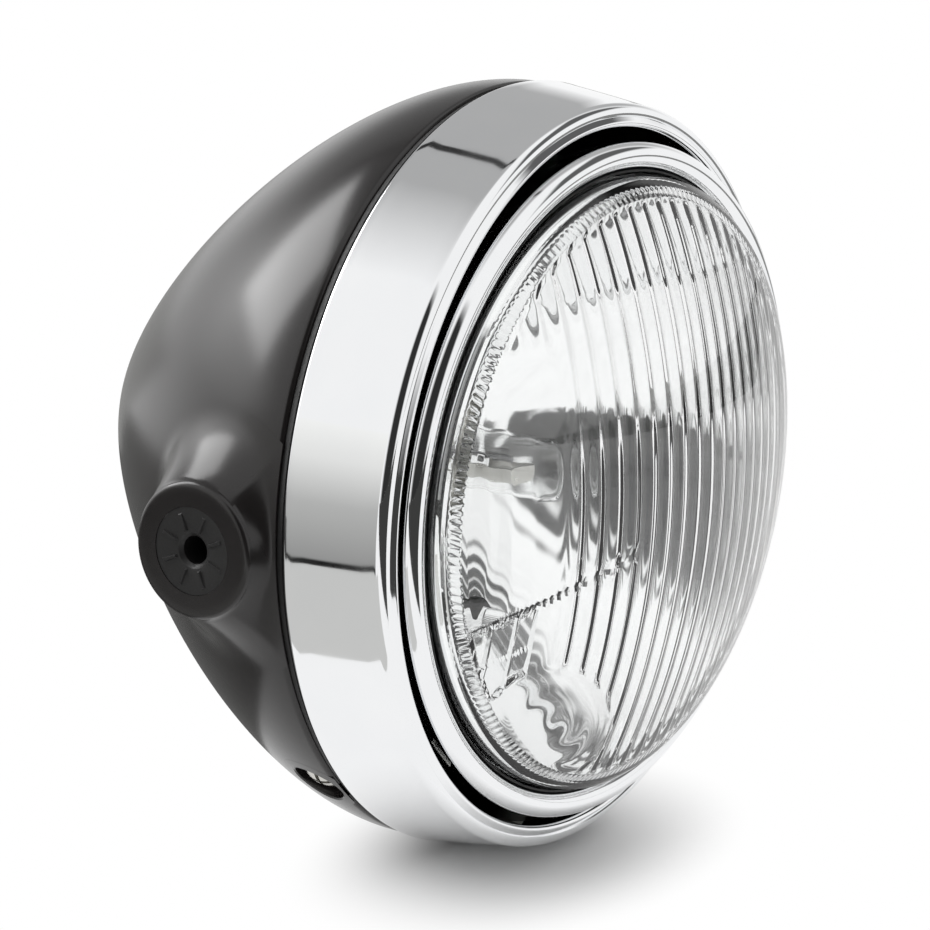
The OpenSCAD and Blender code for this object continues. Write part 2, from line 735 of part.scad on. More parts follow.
module retaining_ring() {
    inner = retainer_r - retainer_wall;
    color([0.62, 0.62, 0.6])
    aimed() difference() {
        union() {
            turned() polygon([[dome_r + 2, retainer_u], [retainer_r, retainer_u],
                [retainer_r, retainer_rear_u], [inner, retainer_rear_u],
                [inner, retainer_u + retainer_wall], [dome_r + 2, retainer_u + retainer_wall]]);
            intersection() {
                turned() translate([inner, retainer_u + 2]) square([retainer_wall, 20]);
                union() {
                    for (a = [90, -90]) at_angle(a)
                        block(inner - 3, retainer_r + 3, retainer_rear_u - 2, pivot_u + 6, tongue_w);
                    block(inner - 3, retainer_r + 3, retainer_rear_u - 2, pivot_u + nut_t / 2, nut_w);
                }
            }
        }
        for (a = [90, -90]) at_angle(a) translate([0, pivot_u, 0])
            spoke(bush_r + 0.02, inner - 3, retainer_r + 3);
    }
}

module optic_clips() {
    outer = rim_r;
    inner = retainer_r - retainer_wall;
    color([0.7, 0.7, 0.72])
    aimed() for (a = [45 : 90 : 315]) at_angle(a) difference() {
        intersection() {
            turned() difference() {
                translate([inner - clip_t - 0.1, rim_rear_u - 5]) square([outer - inner + 2 * clip_t + 0.2,
                    retainer_rear_u - rim_rear_u + 5.2 + clip_t]);
                translate([inner - 0.1, rim_rear_u - 6]) square([outer - inner + 0.2,
                    retainer_rear_u - rim_rear_u + 6.2]);
            }
            block(inner - 5, outer + 5, rim_rear_u - 8, retainer_rear_u + 4, clip_w);
        }
        block(inner - 5, inner + 0.2, rim_rear_u - 8, rim_rear_u, clip_w / 3);
    }
}

module rim_gasket() {
    inner = glass_r + 0.05;
    leg_r = rim_r - 2 * rim_roll;
    lip = leg_r - 0.05;
    under = leg_r + 3;
    lip_u = roll_u - 1.6;
    color([0.04, 0.04, 0.04])
    aimed() turned() polygon([[inner, lip_u], [lip, lip_u], [lip, roll_u], [under, roll_u],
        [under, lens_front_u], [inner, lens_front_u]]);
}

// Upright flutes stand on the inside of the dome. They are turned about a line through the dome's centre.
module flutes() {
    base = dome_sphere - glass_t;
    half = flute_pitch / 2;
    round_r = (half * half + flute_h * flute_h) / (2 * flute_h);
    count = floor((dome_r - glass_t - half) / flute_pitch);
    sweep = 2 * asin(dome_r / base);
    translate([0, dome_centre_u, 0]) rotate([0, 90, 0]) rotate([0, 0, -90]) rotate([0, 0, -sweep / 2])
        rotate_extrude(angle = sweep, $fn = fine) intersection() {
            union() {
                for (i = [-count : count]) let (x = i * flute_pitch)
                    translate([sqrt(base * base - x * x) - flute_h + round_r, x])
                        circle(r = round_r, $fn = 96);
            }
            difference() {
                circle(r = base + 1, $fn = 720);
                circle(r = base - 3, $fn = 720);
            }
            translate([base / 2, -dome_r]) square([base, 2 * dome_r]);
        }
}

// Outline of the glass, set in by a thickness
module glass_outline(inset) {
    shoulder_r = glass_r - inset;
    cone_r = dome_r - inset * 0.9;
    union() {
        intersection() {
            translate([0, dome_centre_u]) circle(r = dome_sphere - inset, $fn = 720);
            translate([0, dome_u - dome_h - eps]) square([cone_r, dome_h + eps + inset]);
        }
        polygon([[0, dome_u + inset], [cone_r, dome_u + inset - 0.01],
            [shoulder_r, dome_u + cone_h + inset * 0.4],
            [shoulder_r, lens_rear_u + (inset > 0 ? eps : 0)], [0, lens_rear_u + (inset > 0 ? eps : 0)]]);
    }
}

module lens() {
    color([0.8, 0.86, 0.88, 0.45])
    aimed() union() {
        turned() difference() {
            union() {
                glass_outline(0);
                translate([0, lens_front_u]) square([glass_flange_r, glass_flange_t]);
            }
            glass_outline(glass_t);
        }
        intersection() {
            flutes();
            bar(dome_r - glass_t + 0.3, dome_u - dome_h, dome_u + 2 * glass_t, fine);
        }
    }
}

module lens_seal() {
    color([0.04, 0.04, 0.04])
    aimed() turned() translate([glass_r - 0.5, lens_rear_u])
        square([glass_flange_r - glass_r + 0.4, seal_t]);
}

function mirror_u(r) = vertex_back - r * r / (4 * focal);
mirror_steps = 32;
module reflector() {
    hole_r = bulb_hole_r;
    edge_r = mouth_r;
    brim_r = glass_flange_r + 0.4;
    neck_u = mirror_u(collar_r) + 0.3;
    radii = [for (i = [0 : mirror_steps]) hole_r + (edge_r - hole_r) * i / mirror_steps];
    front = [for (r = radii) [r, mirror_u(r)]];
    back = [for (i = [mirror_steps : -1 : 0]) [radii[i], mirror_u(radii[i]) + reflector_t]];
    edge = [[brim_r, flange_u], [brim_r, flange_u + flange_t], [edge_r + 0.6, flange_u + flange_t]];
    socket_front = mirror_u(pilot_drop + pilot_d / 2);
    behind = [for (i = [0 : mirror_steps]) let (r = edge_r * i / mirror_steps) [r, mirror_u(r) + 0.2]];
    color([0.83, 0.84, 0.86])
    aimed() difference() {
        union() {
            turned() union() {
                polygon(concat(front, edge, back));
                translate([collar_r - collar_wall, neck_u]) square([collar_wall, seat_u - neck_u]);
                translate([hole_r, seat_u - collar_wall]) square([collar_r - hole_r, collar_wall]);
            }
            difference() {
                translate([0, 0, -pilot_drop])
                    bar(pilot_d / 2 + collar_wall, socket_front, mirror_u(pilot_drop) + socket_h);
                turned() polygon(concat([[0, dome_u]], behind, [[edge_r, dome_u]]));
            }
        }
        translate([0, 0, -pilot_drop]) bar(pilot_d / 2, dome_u, vertex_back);
    }
}

// Bulb: hollow envelope, metal base with a flange, three blades
envelope_r = envelope_d / 2;
base_front_u = seat_u - base_front;
base_rear_u = seat_u + base_rear;
tip_u = seat_u - bulb_reach;
module bulb_envelope() {
    inner = envelope_r - envelope_t;
    bend_u = tip_u + envelope_r;
    color([0.85, 0.88, 0.9, 0.5])
    aimed() turned(96) intersection() {
        difference() {
            union() {
                translate([0, bend_u]) circle(r = envelope_r, $fn = 96);
                translate([0, bend_u]) square([envelope_r, base_front_u - bend_u]);
            }
            translate([0, bend_u]) circle(r = inner, $fn = 96);
            translate([0, bend_u]) square([inner, base_front_u - bend_u - envelope_t]);
        }
        translate([0, tip_u - 1]) square([envelope_d, bulb_reach]);
    }
}

module bulb_base() {
    seat_r = bulb_hole_r + bulb_seat_w;
    plug_r = bulb_hole_r - 3;
    body_r = base_d / 2;
    key = 1.6;
    flange_rear = seat_u + bulb_flange_t;
    color([0.72, 0.72, 0.7])
    aimed() union() {
        turned(96) polygon([[0, base_front_u], [envelope_r + 1.5, base_front_u],
            [envelope_r + 3.5, base_front_u + 3], [plug_r, seat_u - 3], [plug_r, seat_u], [seat_r, seat_u],
            [seat_r, flange_rear], [body_r, flange_rear], [body_r, base_rear_u], [0, base_rear_u]]);
        for (a = [90, 210, 330]) at_angle(a) block(seat_r - 2, seat_r + key, seat_u, flange_rear, 6);
    }
}

module bulb_terminals() {
    plate_h = base_rear - 4;
    color([0.8, 0.78, 0.72])
    aimed() translate([0, base_rear_u, 0]) union() {
        bar(base_d / 2 - 2.5, 0, plate_h);
        translate([-blade_w / 2, plate_h - 1, blade_out]) cube([blade_w, blade_l, blade_t]);
        for (side = [-1, 1]) translate([side * blade_out - blade_t / 2, plate_h - 1, 1 - blade_w])
            cube([blade_t, blade_l, blade_w]);
    }
}

// Small cup under the dipped filament, on a stalk from the base
module dip_shield() {
    cup_r = 0.58 * envelope_r;
    cup_l = 0.22 * bulb_reach;
    cup_u = tip_u + 0.29 * bulb_reach;
    sheet = envelope_t * 0.8;
    stalk_u = cup_u + cup_l / 4;
    color([0.6, 0.6, 0.6])
    aimed() union() {
        translate([0, cup_u, -sheet]) difference() {
            bar(cup_r, 0, cup_l);
            bar(cup_r - sheet, sheet, cup_l + 1);
            translate([-envelope_r, -1, 0.2]) cube([envelope_d, cup_l + 2, envelope_r]);
        }
        translate([0, 0, -cup_r - 0.2]) bar(0.5, stalk_u, base_front_u - envelope_t);
    }
}

module filaments() {
    coil_l = 0.1 * bulb_reach;
    color([0.55, 0.55, 0.55])
    aimed() for (w = [[tip_u + 0.33 * bulb_reach, 1], [tip_u + 0.54 * bulb_reach, -0.5]])
        translate([0, w[0], w[1]]) {
            bar(0.9, 0, coil_l);
            bar(0.35, coil_l / 2, base_front_u - envelope_t - w[0]);
        }
}

module bulb_spring() {
    wire = clip_wire / 2;
    color([0.75, 0.76, 0.78])
    aimed() translate([0, seat_u + bulb_flange_t + wire, 0]) union() {
        rotate([-90, 0, 0]) rotate([0, 0, 150]) rotate_extrude(angle = 240, $fn = 96)
            translate([spring_clip_r, 0]) circle(r = wire, $fn = small);
        for (side = [-1, 1]) at_angle(side * 120 - 90)
            spoke(wire, spring_clip_r - wire, collar_r - 0.4);
    }
}

// Rubber cover: grips the collar, narrows behind the seat and closes round the blades
module dust_boot() {
    out = collar_r + boot_wall;
    mouth_r = boot_mouth_d / 2;
    neck_u = seat_u + boot_h;
    grip_u = seat_u - 0.6 * collar_h;
    grip_r = collar_r + 0.05;
    color([0.09, 0.09, 0.09])
    aimed() turned(120) polygon([[grip_r, grip_u], [out, grip_u], [out, seat_u + 3],
        [collar_r + 0.8, seat_u + 6], [mouth_r + 5.7, neck_u - 2], [mouth_r + 5, neck_u], [mouth_r, neck_u],
        [mouth_r, neck_u - 2], [mouth_r + 3.3, neck_u - 2], [collar_r - 1.2, seat_u + 4.4],
        [grip_r, seat_u + 2.4]]);
}

pilot_u = mirror_u(pilot_drop);
pilot_face_u = pilot_u - 2;
module pilot_holder() {
    rear_u = pilot_u + socket_h;
    color([0.1, 0.1, 0.1])
    aimed() translate([0, 0, -pilot_drop]) union() {
        bar(pilot_d / 2 - 0.05, pilot_face_u, rear_u + 1);
        bar(pilot_d / 2 + 2, rear_u, rear_u + socket_h * 0.8);
    }
}

module pilot_bulb() {
    glass_r = 0.35 * pilot_d;
    color([0.85, 0.88, 0.9, 0.5])
    aimed() translate([0, 0, -pilot_drop]) union() {
        bar(glass_r, pilot_face_u - 1.5 * glass_r, pilot_face_u);
        translate([0, pilot_face_u - 1.5 * glass_r, 0]) sphere(r = glass_r, $fn = small);
    }
}

bowl();
boss_insert_left();
boss_insert_right();
cable_grommet();
seam_seal();
outer_ring();
mounting_ring();
mounting_screws();
ring_screw_left();
ring_screw_right();
ring_nut_left();
ring_nut_right();
pivot_screw_top();
pivot_screw_bottom();
pivot_bush_top();
pivot_bush_bottom();
adjuster_screw();
adjuster_collar();
adjuster_spring();
adjuster_nut();
inner_rim();
retaining_ring();
optic_clips();
rim_gasket();
lens();
lens_seal();
reflector();
bulb_envelope();
bulb_base();
bulb_terminals();
dip_shield();
filaments();
bulb_spring();
dust_boot();
pilot_holder();
pilot_bulb();
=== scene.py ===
"""Looks of a round motorcycle headlight. Everything is in metres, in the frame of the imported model."""
import json
from math import cos, pi, radians, sin, sqrt

import bmesh
import bpy
from mathutils import Matrix, Vector


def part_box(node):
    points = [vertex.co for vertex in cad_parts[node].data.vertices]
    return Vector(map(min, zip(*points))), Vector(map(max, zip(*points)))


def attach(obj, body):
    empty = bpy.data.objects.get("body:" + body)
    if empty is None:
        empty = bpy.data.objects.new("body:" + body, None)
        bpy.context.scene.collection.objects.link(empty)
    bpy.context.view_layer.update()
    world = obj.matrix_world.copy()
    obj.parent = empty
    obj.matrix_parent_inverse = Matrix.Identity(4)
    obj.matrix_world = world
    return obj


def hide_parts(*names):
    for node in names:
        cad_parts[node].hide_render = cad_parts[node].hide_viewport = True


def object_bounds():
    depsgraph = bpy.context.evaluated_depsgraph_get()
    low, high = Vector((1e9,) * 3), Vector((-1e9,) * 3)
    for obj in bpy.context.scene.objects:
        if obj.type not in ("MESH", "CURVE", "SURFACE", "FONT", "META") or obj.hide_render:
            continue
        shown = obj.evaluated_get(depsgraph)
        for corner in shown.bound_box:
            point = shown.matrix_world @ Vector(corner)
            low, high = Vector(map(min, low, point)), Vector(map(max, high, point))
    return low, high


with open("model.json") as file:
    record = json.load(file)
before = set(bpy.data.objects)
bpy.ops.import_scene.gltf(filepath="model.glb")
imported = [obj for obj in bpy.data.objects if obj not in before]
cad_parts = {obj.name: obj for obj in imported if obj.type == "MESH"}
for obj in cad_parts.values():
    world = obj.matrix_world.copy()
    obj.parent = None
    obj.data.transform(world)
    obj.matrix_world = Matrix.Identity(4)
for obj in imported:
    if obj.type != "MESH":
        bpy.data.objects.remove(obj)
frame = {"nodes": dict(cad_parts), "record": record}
lo0, hi0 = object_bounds()

MM = 0.001
ring_lo, ring_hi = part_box("outer_ring")
RING_R = (ring_hi.x - ring_lo.x) / 2
SEAM_Y = ring_hi.y
AXIS_Z = (ring_hi.z + ring_lo.z) / 2
AIM_SET = radians(-2.5)
PIVOT_Y = SEAM_Y - 4 * MM
FLOOR_Z = lo0.z

# Radii and places along the lamp's axis, in millimetres from the seam. TILT is the slope of a line at 15 degrees
LIP_R = 88.1
RING_FRONT_R = 94
RING_DEPTH = 26
RING_ROLL = 2.6
HEM_DEPTH = 5
SHEET = 1.0
ROLL_R = 3.3
ROLL_U = -29.4
RIM_R = 85.1
RIM_REAR_U = -17
GLASS_R = 77.9
DOME_R = 74.1
GLASS_FLANGE_R = 82.5
LENS_FRONT_U = -28.5
LENS_REAR_U = -25
SHOULDER_U = -35.4
DOME_U = -38.3
DOME_H = 16.98
GLASS_T = 3.6
FLUTE_PITCH = 6.2
FLUTE_H = 0.9
TOOTH_H = 0.16
CROSS_Z = 52
CLEAR_X = 42
CLEAR_Z = 42
TILT = 0.268
LINE_Z = -11
BLOCKS_X = (50.5, 68)
BLOCKS_DOWN = (11.5, 31)
BLOCK_H = 9.75
WINDOW = (-36, -51)
WINDOW_SIZE = (24, 13)
BOWL = ((96.5, 0), (104.5, 37.5), (27.5, 119), (0, 119))
SEAM_GAP = 2
BOSS_U = 21.5
BOSS_Z = -5
BOSS_FACE = 103.0
BOSS_R = 16.5
BOSS_EDGE = 1.5
BOSS_SPREAD = 15.5
INSERT_R = 10.5
THREAD_R = 3.4
RECESS_R = 6.8
RECESS_U = 10
RECESS_FLOOR = 93.1
SCREW_ANGLES = (-46, -134)
MARK_ANGLE = 168
MARK_U = 31
MARK_R = 2.6
MARK_DEPTH = 0.8
INLET_PLACE = 0.7
INLET_R = 12

ROUND_STEPS = 360
GLASS_STEPS = 864


# Materials

def new_material(name, colour, roughness, metallic=0.0):
    """A Principled material and the tools to add nodes to it."""
    mat = bpy.data.materials.new(name)
    mat.use_nodes = True
    nodes = mat.node_tree.nodes
    shader = nodes["Principled BSDF"]
    shader.inputs["Base Color"].default_value = (*colour, 1)
    shader.inputs["Roughness"].default_value = roughness
    shader.inputs["Metallic"].default_value = metallic
    return mat, nodes, mat.node_tree.links, shader


def noise(nodes, links, scale, detail=4, stretch=(1, 1, 1)):
    """Noise in the object's own coordinates."""
    place = nodes.new("ShaderNodeTexCoord")
    mapping = nodes.new("ShaderNodeMapping")
    mapping.inputs["Scale"].default_value = stretch
    tex = nodes.new("ShaderNodeTexNoise")
    tex.inputs["Scale"].default_value = scale
    tex.inputs["Detail"].default_value = detail
    links.new(place.outputs["Object"], mapping.inputs["Vector"])
    links.new(mapping.outputs["Vector"], tex.inputs["Vector"])
    return tex


def ramp(nodes, links, source, low, high, a=0.3, b=0.7):
    """Maps a value to a range between two numbers."""
    change = nodes.new("ShaderNodeMapRange")
    change.inputs["From Min"].default_value = a
    change.inputs["From Max"].default_value = b
    change.inputs["To Min"].default_value = low
    change.inputs["To Max"].default_value = high
    links.new(source, change.inputs["Value"])
    return change.outputs["Result"]


def mix_colours(nodes, links, factor, first, second):
    """A colour between two, by a factor."""
    mix = nodes.new("ShaderNodeMix")
    mix.data_type = "RGBA"
    mix.inputs["A"].default_value = (*first, 1)
    mix.inputs["B"].default_value = (*second, 1)
    links.new(factor, mix.inputs["Factor"])
    return mix.outputs["Result"]


def add_bump(nodes, links, shader, height, distance, strength=1.0):
    """Bump from a height, with its depth in metres."""
    bump = nodes.new("ShaderNodeBump")
    bump.inputs["Distance"].default_value = distance
    bump.inputs["Strength"].default_value = strength
    links.new(height, bump.inputs["Height"])
    links.new(bump.outputs["Normal"], shader.inputs["Normal"])


def math(nodes, links, operation, a, b=None):
    """A Math node on sockets or numbers."""
    node = nodes.new("ShaderNodeMath")
    node.operation = operation
    for socket, value in zip(node.inputs, (a, b)):
        if value is None:
            continue
        if isinstance(value, (int, float)):
            socket.default_value = value
        else:
            links.new(value, socket)
    return node.outputs[0]


def black_paint():
    """Gloss paint with faint orange peel and uneven gloss."""
    mat, nodes, links, shader = new_material("black_paint", (0.014, 0.012, 0.012), 0.4)
    patches = noise(nodes, links, 22, 5)
    links.new(ramp(nodes, links, patches.outputs["Fac"], 0.19, 0.25), shader.inputs["Roughness"])
    peel = noise(nodes, links, 900, 2)
    add_bump(nodes, links, shader, peel.outputs["Fac"], 0.00002, 0.3)
    links.new(mix_colours(nodes, links, patches.outputs["Fac"], (0.012, 0.0105, 0.0105), (0.019, 0.0165, 0.016)),
              shader.inputs["Base Color"])
    return mat


def black_steel():
    """Dull black steel with a fine grain."""
    mat, nodes, links, shader = new_material("black_steel", (0.01, 0.0095, 0.0095), 0.5)
    grain = noise(nodes, links, 1500, 3)
    links.new(ramp(nodes, links, grain.outputs["Fac"], 0.4, 0.6), shader.inputs["Roughness"])
    add_bump(nodes, links, shader, grain.outputs["Fac"], 0.00005, 0.5)
    return mat


def chrome():
    """Chrome plate with slight haze."""
    mat, nodes, links, shader = new_material("chrome_plate", (0.86, 0.87, 0.885), 0.05, 1)
    haze = noise(nodes, links, 60, 5)
    links.new(ramp(nodes, links, haze.outputs["Fac"], 0.03, 0.09), shader.inputs["Roughness"])
    links.new(mix_colours(nodes, links, haze.outputs["Fac"], (0.84, 0.85, 0.865), (0.9, 0.905, 0.91)),
              shader.inputs["Base Color"])
    return mat


def zinc_steel():
    """Grey zinc plate on pressed steel."""
    mat, nodes, links, shader = new_material("zinc_steel", (0.6, 0.59, 0.55), 0.32, 1)
    grain = noise(nodes, links, 400, 5)
    links.new(ramp(nodes, links, grain.outputs["Fac"], 0.24, 0.42), shader.inputs["Roughness"])
    links.new(mix_colours(nodes, links, grain.outputs["Fac"], (0.5, 0.49, 0.46), (0.68, 0.67, 0.63)),
              shader.inputs["Base Color"])
    add_bump(nodes, links, shader, grain.outputs["Fac"], 0.00004, 0.4)
    return mat


def brass():
    """Rolled brass."""
    mat, nodes, links, shader = new_material("brass_tabs", (0.72, 0.6, 0.35), 0.3, 1)
    grain = noise(nodes, links, 500, 4)
    links.new(ramp(nodes, links, grain.outputs["Fac"], 0.22, 0.4), shader.inputs["Roughness"])
    return mat


def tungsten():
    """Coiled wire."""
    mat, nodes, links, shader = new_material("tungsten", (0.35, 0.35, 0.36), 0.4, 1)
    coil = nodes.new("ShaderNodeTexWave")
    coil.inputs["Scale"].default_value = 900
    place = nodes.new("ShaderNodeTexCoord")
    links.new(place.outputs["Object"], coil.inputs["Vector"])
    add_bump(nodes, links, shader, coil.outputs["Fac"], 0.0001)
    return mat


def mirror():
    """Bright metal coat of the reflector."""
    mat, nodes, links, shader = new_material("bright_mirror", (0.965, 0.968, 0.97), 0.05, 1)
    haze = noise(nodes, links, 40, 4)
    links.new(ramp(nodes, links, haze.outputs["Fac"], 0.03, 0.07), shader.inputs["Roughness"])
    return mat


def rubber():
    """Matt black rubber."""
    mat, nodes, links, shader = new_material("black_rubber", (0.02, 0.02, 0.02), 0.6)
    grain = noise(nodes, links, 900, 4)
    links.new(ramp(nodes, links, grain.outputs["Fac"], 0.5, 0.72), shader.inputs["Roughness"])
    add_bump(nodes, links, shader, grain.outputs["Fac"], 0.00008, 0.6)
    return mat


def nylon():
    """Pale moulded nylon."""
    mat, nodes, links, shader = new_material("nylon", (0.82, 0.8, 0.72), 0.45)
    shader.inputs["Subsurface Weight"].default_value = 0.15
    grain = noise(nodes, links, 300, 3)
    links.new(ramp(nodes, links, grain.outputs["Fac"], 0.38, 0.52), shader.inputs["Roughness"])
    return mat


def glass():
    """Clear pressed glass with faint smears."""
    mat, nodes, links, shader = new_material("clear_glass", (0.995, 1.0, 0.998), 0.0)
    shader.inputs["Transmission Weight"].default_value = 1
    shader.inputs["IOR"].default_value = 1.5
    smears = noise(nodes, links, 35, 6)
    links.new(ramp(nodes, links, smears.outputs["Fac"], 0.0, 0.02, 0.45, 0.8), shader.inputs["Roughness"])
    return mat


MATERIALS = {
    "black_paint": black_paint(),
    "black_steel": black_steel(),
    "chrome_plate": chrome(),
    "zinc_steel": zinc_steel(),
    "brass_tabs": brass(),
    "tungsten": tungsten(),
    "bright_mirror": mirror(),
    "clear_glass": glass(),
    "black_rubber": rubber(),
    "nylon": nylon(),
}

for part in frame["record"]["subparts"]:
    node = frame["nodes"][part["node"]]
    node.data.materials.clear()
    node.data.materials.append(MATERIALS[part["material_slot"]])


# Mesh tools. Points are given in the lamp's own frame: radius and station in millimetres.

HOUSING = Matrix.Translation((0, SEAM_Y, AXIS_Z)) @ Matrix.Scale(MM, 4)
TURN = (Matrix.Translation((0, PIVOT_Y - SEAM_Y, 0)) @ Matrix.Rotation(AIM_SET, 4, "Z")
        @ Matrix.Translation((0, SEAM_Y - PIVOT_Y, 0)))
OPTIC = Matrix.Translation((0, SEAM_Y, AXIS_Z)) @ TURN @ Matrix.Scale(MM, 4)


def make_piece(name, points, faces, place, slot, body, replaced=(), sharp=35):
    """A smooth-shaded mesh piece that rides on a body."""
    mesh = bpy.data.meshes.new(name)
    mesh.from_pydata([place @ Vector(p) for p in points], [], faces)
    mesh.validate()
    shell = bmesh.new()
    shell.from_mesh(mesh)
    bmesh.ops.recalc_face_normals(shell, faces=shell.faces)
    shell.to_mesh(mesh)
    shell.free()
    mesh.shade_smooth()
    mesh.set_sharp_from_angle(angle=radians(sharp))
    mesh.materials.append(MATERIALS[slot])
    piece = bpy.data.objects.new(name, mesh)
    bpy.context.scene.collection.objects.link(piece)
    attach(piece, body)
    if replaced:
        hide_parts(*replaced)
    return piece


def ring_points(r, u, steps):
    """A ring of points round the lamp's axis, from +X towards +Z."""
    return [(r * cos(2 * pi * i / steps), u, r * sin(2 * pi * i / steps)) for i in range(steps)]


def revolve(profile, steps, closed=True):
    """Points and faces of an outline of (radius, station) turned about the lamp's axis."""
    points = []
    for r, u in profile:
        points += ring_points(r, u, steps)
    faces = []
    rows = len(profile)
    for j in range(rows if closed else rows - 1):
        k = (j + 1) % rows
        for i in range(steps):
            n = (i + 1) % steps
            faces.append((j * steps + i, j * steps + n, k * steps + n, k * steps + i))
    return points, faces


def arc(cr, cu, r, start, end, count):
    """Points on a circle in the section, from one angle to another in degrees."""
    step = radians(end - start) / count
    return [(cr + r * cos(radians(start) + i * step), cu + r * sin(radians(start) + i * step))
            for i in range(count + 1)]


# Black bowl: turned shell with a polar patch at each boss, screw recess, mark and cable inlet

def bowl_curve(t):
    """Radius and station of the drawn outline of the bowl."""
    w = ((1 - t) ** 3, 3 * t * (1 - t) ** 2, 3 * t * t * (1 - t), t ** 3)
    return tuple(sum(k * c[i] for k, c in zip(w, BOWL)) for i in (0, 1))


CURVE = [bowl_curve(i / 3000) for i in range(3001)]


def bowl_radius(u):
    """Radius of the outline at a station."""
    low, high = 0, 3000
    while high - low > 1:
        mid = (low + high) // 2
        if CURVE[mid][1] < u:
            low = mid
        else:
            high = mid
    (r0, u0), (r1, u1) = CURVE[low], CURVE[high]
    return r0 + (r1 - r0) * (u - u0) / (u1 - u0)


def on_bowl(base, out):
    """Distance from a point along a direction to the outside of the bowl."""
    low, high = 0, 130
    for _ in range(26):
        h = (low + high) / 2
        p = base + out * h
        if p.y < 118.9 and p.x * p.x + p.z * p.z < bowl_radius(max(p.y, 0)) ** 2:
            low = h
        else:
            high = h
    return low


def polar_patch(points, faces, centre, out, side, radii, height, steps=180):
    """Rings round an axis; height gives the distance along it from radius, angle and the bowl's own surface."""
    third = out.cross(side)
    first = len(points)
    for k, reach in enumerate(radii):
        for i in range(steps):
            angle = 2 * pi * i / steps
            d = reach(angle) if callable(reach) else reach
            base = centre + side * (d * cos(angle)) + third * (d * sin(angle))
            base.y = max(base.y, SEAM_GAP + 0.02)
            points.append(tuple(base + out * height(k, d, angle, on_bowl(base, out))))
    for k in range(len(radii) - 1):
        a = first + k * steps
        for i in range(steps):
            n = (i + 1) % steps
            faces.append((a + i, a + n, a + steps + n, a + steps + i))
    return first


def boss_reach(ahead):
    """How far the foot of a boss spreads, less towards the seam. ahead is the cosine of the angle to the front."""
    if ahead < 0.05:
        return BOSS_SPREAD
    return min(BOSS_SPREAD, (BOSS_U - SEAM_GAP - 0.3) / ahead - BOSS_R)


